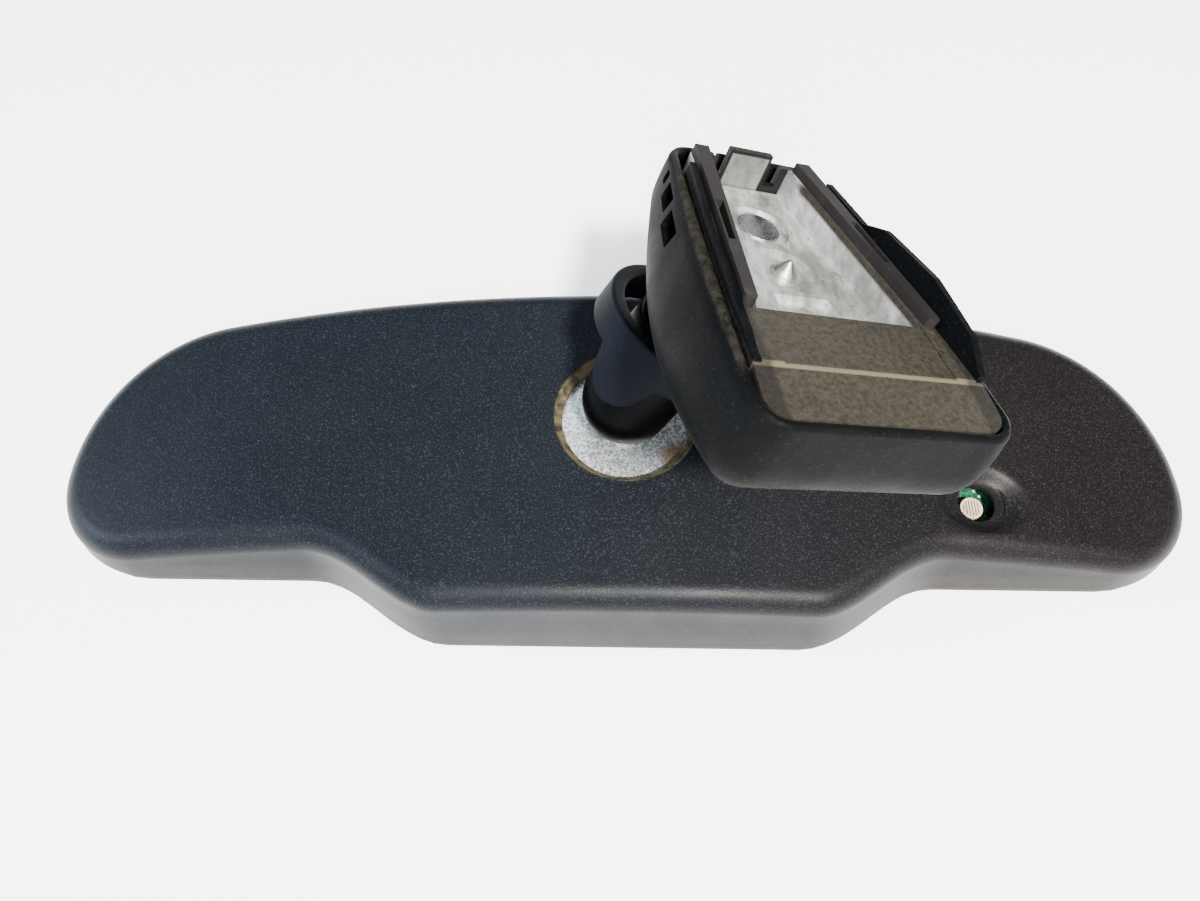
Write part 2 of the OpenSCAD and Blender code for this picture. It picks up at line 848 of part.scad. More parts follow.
// Hold-down arms on the pocket's rails, each with a slot and a rounded free end
module hold_down_arms() {
  v0 = pocket_v + 0.3;
  v1 = pocket_end - 0.3;
  slot_v = pocket_v + 14;
  slot_l = 11;
  end_r = (arm_out(v0) - pocket_x(v0)) / 2;
  color([0.22, 0.21, 0.22])
    foot_frame()
      for (m = [0, 1])
        mirror([m, 0, 0])
          difference() {
            union() {
              plate([[pocket_x(v0), v0], [arm_out(v0), v0], [arm_out(v1), v1], [pocket_x(v1), v1]],
                arm_z, arm_t);
              translate([pocket_x(v0) + end_r, v0, arm_z])
                cylinder(r = end_r, h = arm_t);
            }
            plate([[pocket_x(slot_v) + 0.7, slot_v], [arm_out(slot_v) - 0.8, slot_v],
              [arm_out(slot_v + slot_l) - 0.8, slot_v + slot_l],
              [pocket_x(slot_v + slot_l) + 0.7, slot_v + slot_l]],
              arm_z - 1, arm_t + 2);
          }
}

// Side view of a bar, as points along and up, for its rise above the land
function bar_profile(rise) =
  let (start = land_v + bar_gap, end = pocket_end - 6, drop_v = pocket_v + 25)
  [[start, land_w - 4], [start, land_w + 0.2 * rise], [start + 6, land_w + 0.75 * rise],
    [start + 18, land_w + rise], [drop_v - 5, land_w + 0.8 * rise],
    [drop_v, min(land_w + rise, arm_z + arm_t)], [end, min(land_w + rise, arm_z + arm_t)],
    [end, land_w - 4]];

// Bars between the base and the cover, cut from one ring that follows the cover's outline
module side_bars() {
  outer = cover_wall + bar_gap;
  color([0.1, 0.11, 0.13])
    foot_frame()
      for (side = [-1, 0])
        intersection() {
          difference() {
            plate(inset(foot_outline(), outer), land_w - 5, bar_rise + 6);
            plate(inset(foot_outline(), outer + bar_t), land_w - 6, bar_rise + 8);
          }
          translate([side * foot_near, 0, 0])
            rotate([90, 0, 90])
              linear_extrude(foot_near)
                polygon(bar_profile(side < 0 ? low_bar_rise : bar_rise));
        }
}

module set_screw() {
  color([0.6, 0.6, 0.6])
    foot_frame()
      translate([0, cone_v, 0])
        difference() {
          union() {
            translate([0, 0, under_w - 1.5])
              cylinder(r = cone_r, h = floor_w - under_w + 1.5);
            translate([0, 0, floor_w])
              cylinder(r1 = cone_r, r2 = 0.3, h = cone_rise);
          }
          translate([0, 0, under_w - 2])
            cylinder(r = 1.1, h = 2.5, $fn = 6);
        }
}

rear_housing();
bezel();
front_glass();
cell_seal();
rear_glass();
bus_clips();
foam_pad();
carrier_plate();
mount_plate();
plate_screws();
circuit_board();
controller_chip();
power_parts();
connector_header();
connector_pins();
forward_photocell();
photocell_leads();
glare_sensor();
sensor_window();
tact_switch();
push_button();
indicator_led();
light_pipe();
head_ball_stud();
lower_seat();
stay_spring();
upper_seat();
stay_tube();
stay_collar();
foot_ball_stud();
mount_base();
foot_cover();
hold_down_arms();
side_bars();
set_screw();
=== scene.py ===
"""Looks of the interior rearview mirror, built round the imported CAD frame.

The mirror lies on its glass. All lengths are metres in the row frame; MM turns millimetres into metres.
"""
import json
import math

import bmesh
import bpy
from mathutils import Matrix, Vector
from mathutils.geometry import delaunay_2d_cdt


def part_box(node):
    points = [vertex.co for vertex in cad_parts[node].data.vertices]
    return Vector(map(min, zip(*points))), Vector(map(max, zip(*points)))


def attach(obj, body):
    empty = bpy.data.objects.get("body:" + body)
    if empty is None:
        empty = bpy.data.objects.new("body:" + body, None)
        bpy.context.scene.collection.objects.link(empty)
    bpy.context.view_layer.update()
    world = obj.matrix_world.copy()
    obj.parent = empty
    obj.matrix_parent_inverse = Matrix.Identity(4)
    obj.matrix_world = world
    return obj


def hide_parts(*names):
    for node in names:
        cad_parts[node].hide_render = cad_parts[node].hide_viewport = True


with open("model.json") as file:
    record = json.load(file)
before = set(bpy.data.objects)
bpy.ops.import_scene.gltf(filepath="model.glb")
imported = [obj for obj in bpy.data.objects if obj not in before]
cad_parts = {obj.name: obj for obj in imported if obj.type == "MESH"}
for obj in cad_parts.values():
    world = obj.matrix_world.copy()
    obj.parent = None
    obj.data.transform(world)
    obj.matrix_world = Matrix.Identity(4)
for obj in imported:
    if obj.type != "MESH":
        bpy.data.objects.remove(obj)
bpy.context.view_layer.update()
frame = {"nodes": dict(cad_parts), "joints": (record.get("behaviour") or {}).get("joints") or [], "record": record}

MM = 0.001
# Turn of the foot about its own upright axis
FOOT_TURN_DEG = -37

# ---------------------------------------------------------------- places taken from the frame

JOINTS = {joint["name"]: joint for joint in frame["joints"]}
HEAD_BALL = Vector(JOINTS["head_swing"]["pos_m"])
FOOT_BALL = Vector(JOINTS["foot_tilt"]["pos_m"])
STAY_AXIS = Vector(JOINTS["stay_twist"]["axis"]).normalized()
FOOT_UP = Vector(JOINTS["foot_swing"]["axis"]).normalized()
HOUSING_LOW, HOUSING_HIGH = (Vector(corner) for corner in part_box("rear_housing"))
CELL_LOW, CELL_HIGH = (Vector(corner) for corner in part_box("forward_photocell"))
HEADER_LOW, HEADER_HIGH = (Vector(corner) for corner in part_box("connector_header"))


def foot_frame():
    """Turns the foot's own (across, along, up) millimetres from its ball into the row frame."""
    turn = math.radians(FOOT_TURN_DEG)
    lean = math.acos(FOOT_UP.z)
    azimuth = math.atan2(FOOT_UP.y, FOOT_UP.x)
    spin = Matrix.Rotation(azimuth, 4, "Z") @ Matrix.Rotation(lean, 4, "Y") @ Matrix.Rotation(turn, 4, "Z")
    return Matrix.Translation(FOOT_BALL) @ spin @ Matrix.Scale(MM, 4)


def stay_frame():
    """Turns the stay's own millimetres, up from the head's ball, into the row frame."""
    lean = math.acos(STAY_AXIS.z)
    azimuth = math.atan2(STAY_AXIS.y, STAY_AXIS.x)
    spin = Matrix.Rotation(azimuth, 4, "Z") @ Matrix.Rotation(lean, 4, "Y")
    return Matrix.Translation(HEAD_BALL) @ spin @ Matrix.Scale(MM, 4)


STAY = stay_frame()
FOOT = foot_frame()
FOOT_ALONG = (FOOT.to_3x3() @ Vector((0, 1, 0))).normalized()
FOOT_ACROSS = (FOOT.to_3x3() @ Vector((1, 0, 0))).normalized()

# ---------------------------------------------------------------- mesh helpers


def new_object(name, verts, faces, sharp_deg=40.0):
    """A smooth-shaded mesh object whose edges sharper than sharp_deg stay crisp."""
    mesh = bpy.data.meshes.new(name)
    mesh.from_pydata([tuple(v) for v in verts], [], [tuple(f) for f in faces])
    obj = bpy.data.objects.new(name, mesh)
    bpy.context.scene.collection.objects.link(obj)
    clean(mesh)
    crisp(mesh, sharp_deg)
    return obj


def clean(mesh):
    """Joined points and outward faces."""
    bm = bmesh.new()
    bm.from_mesh(mesh)
    bmesh.ops.remove_doubles(bm, verts=bm.verts, dist=1e-6)
    bmesh.ops.recalc_face_normals(bm, faces=bm.faces)
    bm.to_mesh(mesh)
    bm.free()


def crisp(mesh, sharp_deg):
    """Smooth faces, with sharp edges where two faces meet at more than sharp_deg."""
    bm = bmesh.new()
    bm.from_mesh(mesh)
    limit = math.radians(sharp_deg)
    for face in bm.faces:
        face.smooth = True
    for edge in bm.edges:
        edge.smooth = len(edge.link_faces) != 2 or edge.calc_face_angle(0.0) < limit
    bm.to_mesh(mesh)
    bm.free()


def paint(obj, look):
    obj.data.materials.clear()
    obj.data.materials.append(look)


# ---------------------------------------------------------------- material helpers


class Look:
    """A principled material with short calls for the textures that feed it."""

    def __init__(self, name, metallic=0.0, roughness=0.5, **sockets):
        self.material = bpy.data.materials.new(name)
        self.material.use_nodes = True
        self.tree = self.material.node_tree
        self.shader = self.tree.nodes["Principled BSDF"]
        self.shader.inputs["Metallic"].default_value = metallic
        self.shader.inputs["Roughness"].default_value = roughness
        for socket, value in sockets.items():
            self.shader.inputs[socket.replace("_", " ")].default_value = value
        self.position = self.tree.nodes.new("ShaderNodeTexCoord").outputs["Object"]

    def node(self, kind, **inputs):
        made = self.tree.nodes.new(kind)
        for socket, value in inputs.items():
            self.feed(made.inputs[socket.replace("_", " ")], value)
        return made

    def feed(self, socket, value):
        if isinstance(value, bpy.types.NodeSocket):
            self.tree.links.new(value, socket)
        else:
            socket.default_value = value

    def noise(self, size, detail=3.0, roughness=0.5, vector=None):
        """Noise whose blobs are about size metres wide."""
        made = self.node("ShaderNodeTexNoise", Vector=vector or self.position, Scale=1.0 / size,
                         Detail=detail, Roughness=roughness)
        return made.outputs["Fac"]

    def cells(self, size, vector=None, feature="F1"):
        made = self.node("ShaderNodeTexVoronoi", Vector=vector or self.position, Scale=1.0 / size)
        made.feature = feature
        return made.outputs["Distance"]

    def stretched(self, x, y, z):
        """The position scaled along each axis, for streaks."""
        made = self.node("ShaderNodeVectorMath", Vector=self.position)
        made.operation = "MULTIPLY"
        made.inputs[1].default_value = (x, y, z)
        return made.outputs["Vector"]

    def math(self, operation, first, second=0.0):
        made = self.node("ShaderNodeMath")
        made.operation = operation
        self.feed(made.inputs[0], first)
        self.feed(made.inputs[1], second)
        return made.outputs["Value"]

    def fade(self, value, start, end, low=0.0, high=1.0):
        """low where value is start and high where it is end, clamped and smooth between."""
        made = self.node("ShaderNodeMapRange", Value=value)
        made.interpolation_type = "SMOOTHSTEP"
        made.inputs["From Min"].default_value = start
        made.inputs["From Max"].default_value = end
        made.inputs["To Min"].default_value = low
        made.inputs["To Max"].default_value = high
        return made.outputs["Result"]

    def mix(self, factor, first, second):
        made = self.tree.nodes.new("ShaderNodeMix")
        made.data_type = "RGBA"
        self.feed(made.inputs[0], factor)
        self.feed(made.inputs[6], first)
        self.feed(made.inputs[7], second)
        return made.outputs[2]

    def along(self, axis, origin):
        """Distance of the surface point from origin along axis."""
        offset = self.node("ShaderNodeVectorMath", Vector=self.position)
        offset.operation = "SUBTRACT"
        offset.inputs[1].default_value = tuple(origin)
        dot = self.node("ShaderNodeVectorMath", Vector=offset.outputs["Vector"])
        dot.operation = "DOT_PRODUCT"
        dot.inputs[1].default_value = tuple(axis)
        return dot.outputs["Value"]

    def away(self, origin, flatten=(1, 1, 1)):
        """Distance of the surface point from origin, with each axis weighted by flatten."""
        offset = self.node("ShaderNodeVectorMath", Vector=self.position)
        offset.operation = "SUBTRACT"
        offset.inputs[1].default_value = tuple(origin)
        flat = self.node("ShaderNodeVectorMath", Vector=offset.outputs["Vector"])
        flat.operation = "MULTIPLY"
        flat.inputs[1].default_value = flatten
        size = self.node("ShaderNodeVectorMath", Vector=flat.outputs["Vector"])
        size.operation = "LENGTH"
        return size.outputs["Value"]

    def bump(self, *layers):
        """Each layer is (height socket, depth in metres)."""
        normal = None
        for height, depth in layers:
            made = self.node("ShaderNodeBump", Height=height, Distance=depth)
            made.inputs["Strength"].default_value = 1.0
            if normal is not None:
                self.feed(made.inputs["Normal"], normal)
            normal = made.outputs["Normal"]
        self.feed(self.shader.inputs["Normal"], normal)

    def colour(self, value):
        self.feed(self.shader.inputs["Base Color"], value)

    def rough(self, value):
        self.feed(self.shader.inputs["Roughness"], value)


def rgb(red, green, blue):
    return (red, green, blue, 1.0)


DUST = rgb(0.20, 0.175, 0.13)
BALL_FLOOR = Vector((HEAD_BALL.x, HEAD_BALL.y, 0))

# ---------------------------------------------------------------- materials


def housing_look():
    """Black plastic with a fine spark-eroded grain, painted glints as pale specks, a painted reflection tint from
    cool blue on the left to warm brown on the right, and tan dust on the ball opening's lip.
    """
    look = Look("housing_plastic", Specular_IOR_Level=0.09)
    fine = look.noise(0.42 * MM, 2.0)
    cloud = look.noise(45 * MM, 3.0)
    # Painted reflection: the base colour runs from a cool blue tint on the left to a warm brown tint on the right,
    # standing in for window and lamp sheen
    side = look.fade(look.along((1, 0, 0), (0, 0, 0)), -40 * MM, 90 * MM)
    cool = look.mix(cloud, rgb(0.0026, 0.0036, 0.0052), rgb(0.0042, 0.0056, 0.0080))
    warm_sheen = look.mix(cloud, rgb(0.0042, 0.0035, 0.0036), rgb(0.0060, 0.0048, 0.0047))
    plastic = look.mix(side, cool, warm_sheen)
    # Painted glints: fine pale specks in the colour stand in for light sparkling off the grain
    speck = look.fade(look.noise(0.36 * MM, 1.0), 0.52, 0.72, 0.0, 0.34)
    glint_speckled = look.mix(speck, plastic, rgb(0.030, 0.036, 0.044))
    height = look.along((0, 0, 1), (0, 0, 0))
    wall = look.fade(height, 10 * MM, 6 * MM, 0.0, 0.03)
    worn = look.mix(wall, glint_speckled, DUST)
    radius = look.away(BALL_FLOOR, (1, 1, 0))
    near_hole = look.fade(radius, 15.8 * MM, 15.3 * MM)
    lip = look.math("MULTIPLY", near_hole, look.fade(height, 18 * MM, 19.5 * MM))
    patchy = look.fade(look.noise(2.2 * MM, 4.0), 0.32, 0.62, 0.15, 0.75)
    look.colour(look.mix(look.math("MULTIPLY", lip, patchy), worn, rgb(0.11, 0.09, 0.05)))
    look.rough(look.fade(look.noise(18 * MM, 4.0), 0.3, 0.7, 0.40, 0.48))
    look.bump((fine, 0.045 * MM))
    return look.material


def bezel_look():
    look = Look("bezel_plastic", Specular_IOR_Level=0.05)
    fine = look.noise(0.35 * MM, 3.0)
    look.colour(look.mix(look.noise(20 * MM), rgb(0.004, 0.004, 0.005), rgb(0.008, 0.008, 0.009)))
    look.rough(look.fade(fine, 0.3, 0.7, 0.38, 0.5))
    look.bump((fine, 0.05 * MM))
    return look.material


def cast_black(name, dark, light, dust, roughness=(0.45, 0.6)):
    """Moulded black plastic with handling marks and a little dust in patches."""
    look = Look(name, Specular_IOR_Level=0.04)
    cloud = look.noise(12 * MM, 4.0)
    fine = look.noise(0.4 * MM, 3.0)
    patch = look.fade(look.noise(7 * MM, 6.0, 0.7), 0.55, 0.8, 0.0, dust)
    look.colour(look.mix(patch, look.mix(cloud, dark, light), DUST))
    look.rough(look.fade(cloud, 0.3, 0.7, *roughness))
    look.bump((fine, 0.05 * MM))
    return look.material


def cover_look():
    """Matte charcoal cover, with a dusty inner edge, dust patches and a painted highlight in the dust colour along
    its soft lower edge.
    """
    look = Look("cover_plastic", Specular_IOR_Level=0.025)
    cloud = look.noise(14 * MM, 4.0)
    fine = look.noise(0.4 * MM, 3.0)
    along = look.along(FOOT_ALONG, FOOT_BALL)
    up = look.along(FOOT_UP, FOOT_BALL)
    near = look.fade(along, -44 * MM, -55 * MM, 0.0, 0.006)
    # Painted highlight: dust colour mixed in along the lower edge stands in for the floor's reflection there
    low = look.fade(up, 4 * MM, -1 * MM, 0.0, 0.06)
    patch = look.fade(look.noise(9 * MM, 6.0, 0.65), 0.42, 0.75)
    # dust carries both the real dust at the near end and the painted lower-edge highlight
    dust = look.math("MULTIPLY", look.math("ADD", near, low), look.math("ADD", patch, 0.3))
    height = look.math("MULTIPLY", look.fade(up, 15.7 * MM, 16.2 * MM), look.fade(up, 17.2 * MM, 16.9 * MM))
    rim = look.math("MULTIPLY", height, look.fade(along, -46 * MM, -42 * MM))
    worn = look.math("MULTIPLY", rim, look.fade(look.noise(1.5 * MM, 5.0, 0.7), 0.35, 0.65, 0.01, 0.07))
    plastic = look.mix(cloud, rgb(0.0011, 0.0014, 0.0017), rgb(0.0024, 0.0027, 0.0030))
    speck = look.fade(look.noise(0.6 * MM, 1.0), 0.62, 0.74, 0.0, 0.25)
    shell = look.mix(speck, plastic, rgb(0.018, 0.018, 0.018))
    look.colour(look.mix(look.math("ADD", dust, worn), shell, DUST))
    look.rough(look.fade(cloud, 0.3, 0.7, 0.48, 0.62))
    look.bump((fine, 0.05 * MM), (look.noise(5 * MM), 0.10 * MM))
    return look.material


def zinc_look():
    """Die-cast zinc: bright in the pocket, brown with dust on the near land, black on its outer edges."""
    look = Look("base_zinc", metallic=0.8, Specular_IOR_Level=0.05)
    along = look.along(FOOT_ALONG, FOOT_BALL)
    across = look.along(FOOT_ACROSS, FOOT_BALL)
    up = look.along(FOOT_UP, FOOT_BALL)
    side = look.math("ABSOLUTE", across)
    streak = look.noise(1.0, 4.0, 0.6, look.stretched(700, 160, 300))
    cloud = look.noise(9 * MM, 4.0, 0.6)
    fine = look.noise(0.3 * MM, 4.0)
    light = look.mix(look.fade(cloud, 0.38, 0.62), rgb(0.38, 0.39, 0.37), rgb(0.76, 0.78, 0.77))
    metal = look.mix(look.fade(streak, 0.35, 0.7, 0.0, 0.55), light, rgb(0.16, 0.155, 0.14))
    spots = look.fade(look.noise(2.5 * MM, 5.0, 0.7), 0.58, 0.70, 0.0, 0.8)
    stained = look.mix(spots, metal, rgb(0.20, 0.15, 0.09))
    land = look.fade(along, -28.5 * MM, -31.5 * MM)
    high = look.math("MULTIPLY", look.fade(up, 15.5 * MM, 16.6 * MM), look.fade(along, 11.5 * MM, 6 * MM))
    dusty = look.math("MAXIMUM", land, high)
    mottle = look.fade(look.noise(0.9 * MM, 8.0, 0.8), 0.35, 0.65)
    grime = look.mix(mottle, rgb(0.014, 0.0125, 0.010), rgb(0.032, 0.029, 0.0225))
    # A narrow tan line across the near land, lighter than the land round it
    line = look.fade(look.math("ABSOLUTE", look.math("ADD", along, 43.1 * MM)), 0.25 * MM, 0.6 * MM, 0.9, 0.0)
    grimy_with_tan_line = look.mix(line, look.mix(dusty, stained, grime), rgb(0.10, 0.085, 0.058))
    tab_edge = look.math("MAXIMUM", look.fade(up, 18.3 * MM, 18.6 * MM), look.fade(side, 3.6 * MM, 3.9 * MM))
    tab = look.math("MULTIPLY", tab_edge, look.fade(along, 11.9 * MM, 12.1 * MM))
    outer = look.math("MAXIMUM", tab, look.fade(side, 16.5 * MM, 17.5 * MM, 0.0, 0.6))
    dull = look.mix(look.fade(along, 11.7 * MM, 12.0 * MM, 0.0, 0.8), grimy_with_tan_line, rgb(0.10, 0.10, 0.09))
    look.colour(look.mix(outer, dull, rgb(0.006, 0.006, 0.006)))
    look.rough(look.fade(fine, 0.3, 0.7, 0.36, 0.58))
    bare = look.math("SUBTRACT", 1.0, look.math("MAXIMUM", dusty, outer))
    look.feed(look.shader.inputs["Metallic"], look.math("MULTIPLY", bare, 0.85))
    look.bump((fine, 0.05 * MM), (look.noise(4 * MM, 4.0), 0.25 * MM))
    return look.material


def plate_look():
    """Galvanised sheet with a fine even grain and a round brown spot at one edge of the neck's shadow."""
    look = Look("plate_steel", metallic=0.9)
    fine = look.noise(0.45 * MM, 4.0)
    spangle = look.cells(3.0 * MM)
    sparkle = look.fade(look.noise(0.6 * MM, 2.0, 0.7), 0.38, 0.62)
    zinc = look.mix(sparkle, rgb(0.30, 0.315, 0.32), rgb(0.86, 0.89, 0.90))
    zinc = look.mix(look.fade(spangle, 0.3, 0.9, 0.0, 0.4), zinc, rgb(0.62, 0.64, 0.65))
    # A round brown spot, strongest at its middle and fading out by 4.2 mm
    brown_spot_at = BALL_FLOOR + Vector((10.5 * MM, -8.0 * MM, HEAD_BALL.z - 11 * MM))
    brown_spot = look.fade(look.away(brown_spot_at), 4.2 * MM, 1.8 * MM, 0.0, 0.75)
    look.colour(look.mix(brown_spot, zinc, rgb(0.30, 0.16, 0.05)))
    look.rough(look.fade(fine, 0.3, 0.7, 0.34, 0.5))
    look.bump((fine, 0.03 * MM))
    return look.material


def metal_look(name, colour, roughness=(0.25, 0.42), grain=0.4):
    look = Look(name, metallic=1.0)
    fine = look.noise(grain * MM, 4.0)
    dark = tuple(0.7 * c for c in colour[:3]) + (1.0,)
    look.colour(look.mix(fine, dark, colour))
    look.rough(look.fade(fine, 0.3, 0.7, *roughness))
    look.bump((fine, 0.02 * MM))
    return look.material


def board_look():
    """Green solder mask with copper tracks showing through and tinned pads."""
    look = Look("board_laminate", Specular_IOR_Level=0.2)
    track = look.cells(1.6 * MM, feature="DISTANCE_TO_EDGE")
    copper = look.fade(track, 0.10, 0.06, 0.0, 0.8)
    mask = look.mix(copper, rgb(0.008, 0.045, 0.024), rgb(0.020, 0.10, 0.055))
    pads = look.fade(look.cells(2.4 * MM), 0.17, 0.12)
    look.colour(look.mix(pads, mask, rgb(0.62, 0.64, 0.60)))
    look.rough(look.fade(look.noise(1.0 * MM), 0.3, 0.7, 0.28, 0.4))
    look.bump((look.fade(track, 0.10, 0.06), 0.03 * MM))
    return look.material


def photocell_look():
    """Cream ceramic with a pinkish brown serpentine track."""
    look = Look("cell_ceramic", Specular_IOR_Level=0.3)
    across = look.along((1, 0, 0), (CELL_LOW + CELL_HIGH) / 2)
    stripe = look.math("SINE", look.math("MULTIPLY", across, 2 * math.pi / (0.62 * MM)))
    centre = (CELL_LOW + CELL_HIGH) / 2
    inside = look.fade(look.away(centre, (1, 1, 0)), 2.0 * MM, 1.8 * MM)
    track = look.math("MULTIPLY", look.fade(stripe, -0.1, 0.2), inside)
    ceramic = look.mix(look.noise(0.6 * MM), rgb(0.36, 0.31, 0.19), rgb(0.46, 0.41, 0.27))
    look.colour(look.mix(track, ceramic, rgb(0.14, 0.065, 0.045)))
    look.rough(look.fade(stripe, 0.0, 1.0, 0.3, 0.5))
    look.bump((stripe, 0.03 * MM))
    return look.material


def mirror_look():
    look = Look("mirror_glass", metallic=1.0, roughness=0.03)
    haze = look.noise(30 * MM, 3.0)
    look.colour(look.mix(haze, rgb(0.55, 0.60, 0.64), rgb(0.60, 0.65, 0.68)))
    look.rough(look.fade(look.noise(6 * MM, 5.0), 0.4, 0.8, 0.02, 0.07))
    return look.material


def clear_look(name, tint, roughness):
    look = Look(name, Transmission_Weight=1.0, IOR=1.5)
    look.colour(look.mix(look.noise(15 * MM), tint, rgb(0.96, 0.97, 0.97)))
    look.rough(look.fade(look.noise(3 * MM), 0.3, 0.7, roughness, roughness + 0.05))
    return look.material


def moulded_look(name, low, high, roughness=(0.35, 0.5), grain=0.5):
    look = Look(name)
    fine = look.noise(grain * MM, 3.0)
    look.colour(look.mix(look.noise(6 * MM, 4.0), low, high))
    look.rough(look.fade(fine, 0.3, 0.7, *roughness))
    look.bump((fine, 0.03 * MM))
    return look.material


LOOKS = {
    "housing_plastic": housing_look(),
    "bezel_plastic": bezel_look(),
    "mirror_glass": mirror_look(),
    "clear_glass": clear_look("clear_glass", rgb(0.90, 0.94, 0.95), 0.0),
    "seal_epoxy": moulded_look("seal_epoxy", rgb(0.45, 0.45, 0.42), rgb(0.6, 0.6, 0.56)),
    "clip_metal": metal_look("clip_metal", rgb(0.75, 0.70, 0.55)),
    "pad_foam": moulded_look("pad_foam", rgb(0.02, 0.02, 0.02), rgb(0.05, 0.05, 0.05), (0.8, 0.95)),
    "carrier_plastic": moulded_look("carrier_plastic", rgb(0.02, 0.02, 0.022), rgb(0.035, 0.035, 0.04)),
    "plate_steel": plate_look(),
    "screw_steel": metal_look("screw_steel", rgb(0.55, 0.54, 0.50), (0.3, 0.5)),
    "board_laminate": board_look(),
    "chip_plastic": moulded_look("chip_plastic", rgb(0.012, 0.012, 0.013), rgb(0.02, 0.02, 0.022)),
    "part_metal": metal_look("part_metal", rgb(0.72, 0.72, 0.72)),
    "header_plastic": moulded_look("header_plastic", rgb(0.015, 0.015, 0.016), rgb(0.03, 0.03, 0.032)),
    "pin_metal": metal_look("pin_metal", rgb(0.85, 0.70, 0.40), (0.15, 0.3)),
    "cell_ceramic": photocell_look(),
    "lens_plastic": clear_look("lens_plastic", rgb(0.80, 0.86, 0.9), 0.02),
    "led_plastic": moulded_look("led_plastic", rgb(0.25, 0.6, 0.2), rgb(0.35, 0.7, 0.3), (0.1, 0.2)),
    "button_plastic": moulded_look("button_plastic", rgb(0.010, 0.010, 0.011), rgb(0.018, 0.018, 0.02)),
    "stud_steel": metal_look("stud_steel", rgb(0.55, 0.55, 0.56), (0.2, 0.35)),
    "seat_nylon": moulded_look("seat_nylon", rgb(0.62, 0.61, 0.55), rgb(0.74, 0.73, 0.67)),
    "spring_steel": metal_look("spring_steel", rgb(0.5, 0.5, 0.52)),
    "stay_paint": cast_black("stay_paint", rgb(0.0002, 0.0003, 0.0005), rgb(0.0005, 0.0007, 0.0011),
                             0.002, (0.3, 0.42)),
    "collar_plastic": cast_black("collar_plastic", rgb(0.0018, 0.0024, 0.0042),
                                 rgb(0.0035, 0.0045, 0.0075), 0.02),
    "base_zinc": zinc_look(),
    "cover_plastic": cover_look(),
    "arm_plastic": cast_black("arm_plastic", rgb(0.0075, 0.0068, 0.0068), rgb(0.017, 0.0155, 0.0155), 0.12),
}

SLOT_OF = {part["node"]: part["material_slot"] for part in frame["record"]["subparts"]}
for node_name, node_object in frame["nodes"].items():
    paint(node_object, LOOKS[SLOT_OF[node_name]])


def soften(width, *names):
    """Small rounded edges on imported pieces."""
    for name in names:
        made = frame["nodes"][name].modifiers.new("soft_edges", "BEVEL")
        made.width = width
        made.segments = 3
        made.limit_method = "ANGLE"
        made.angle_limit = math.radians(35)
        crisp(frame["nodes"][name].data, 40)


soften(0.5 * MM, "hold_down_arms", "side_bars", "mount_base")
soften(0.35 * MM, "mount_plate")


# ---------------------------------------------------------------- head's back, in millimetres

HEAD_HALF = HOUSING_HIGH.x / MM
HEAD_EDGE = HOUSING_HIGH.y / MM
BACK_TOP = HOUSING_HIGH.z / MM
SEAM_Z = HOUSING_LOW.z / MM
LOBE_STEP = 14
LOBE_HALF = 38
LOBE_BLEND = 31
CORNER_UP_R = 39
CORNER_LOW_R = 21
TOP_ARCH_R = 644
CROWN = 13.5
BACK_EDGE_R = 5
BACK_DRAFT = math.radians(10)
HEAD_WALL = 2
OPENING_R = 13.9
LIP_W = 1.8
LIP_D = 2
BOSS_W = 2.2
DISH_D = 2.4
DISH_ACROSS = 11.5
DISH_ALONG = 8.5
SENSOR_R = 4.2
PLATE_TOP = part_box("mount_plate")[1][2] / MM
BALL_Y = HEAD_BALL.y / MM
SENSOR_X = (CELL_LOW.x + CELL_HIGH.x) / 2 / MM
SENSOR_Y = (CELL_LOW.y + CELL_HIGH.y) / 2 / MM


def arc(centre, radius, start, end, steps):
    """Points on an arc with the unit normals that point to its centre."""
    out = []
    for i in range(steps + 1):
        a = start + (end - start) * i / steps
        normal = Vector((-math.cos(a), -math.sin(a)))
        out.append((Vector(centre) - radius * normal, normal))
    return out


def head_outline():
    """The head's outline as (point, inward normal) pairs, from the lobe's middle anticlockwise."""
    wing = LOBE_STEP - HEAD_EDGE
    corner_x = HEAD_HALF - CORNER_UP_R
    arch_y = HEAD_EDGE - TOP_ARCH_R
    corner_y = arch_y + math.sqrt((TOP_ARCH_R - CORNER_UP_R) ** 2 - corner_x ** 2)
    corner_a = math.atan2(corner_y - arch_y, corner_x)
    half = [(Vector((LOBE_HALF * i / 12, -HEAD_EDGE)), Vector((0, 1))) for i in range(12)]
    for i in range(25):
        a = math.pi * i / 24
        slope = LOBE_STEP * math.pi * math.sin(a) / 2 / LOBE_BLEND
        point = Vector((LOBE_HALF + LOBE_BLEND * i / 24, -HEAD_EDGE + LOBE_STEP * (1 - math.cos(a)) / 2))
        half.append((point, Vector((-slope, 1)).normalized()))
    flat_start = LOBE_HALF + LOBE_BLEND
    flat_end = HEAD_HALF - CORNER_LOW_R
    for i in range(1, 10):
        half.append((Vector((flat_start + (flat_end - flat_start) * i / 10, wing)), Vector((0, 1))))
    low_corner = (HEAD_HALF - CORNER_LOW_R, wing + CORNER_LOW_R)
    half += arc(low_corner, CORNER_LOW_R, -math.pi / 2, 0, 24)
    half += arc((corner_x, corner_y), CORNER_UP_R, 0, corner_a, 30)[1:]
    half += arc((0, arch_y), TOP_ARCH_R, corner_a, math.pi / 2, 30)[1:]
    left = [(Vector((-p.x, p.y)), Vector((-n.x, n.y))) for p, n in reversed(half[1:-1])]
    return half + left


def fall(x):
    """How far the crowned back drops at x from its middle."""
    return CROWN * (x / HEAD_HALF) ** 2


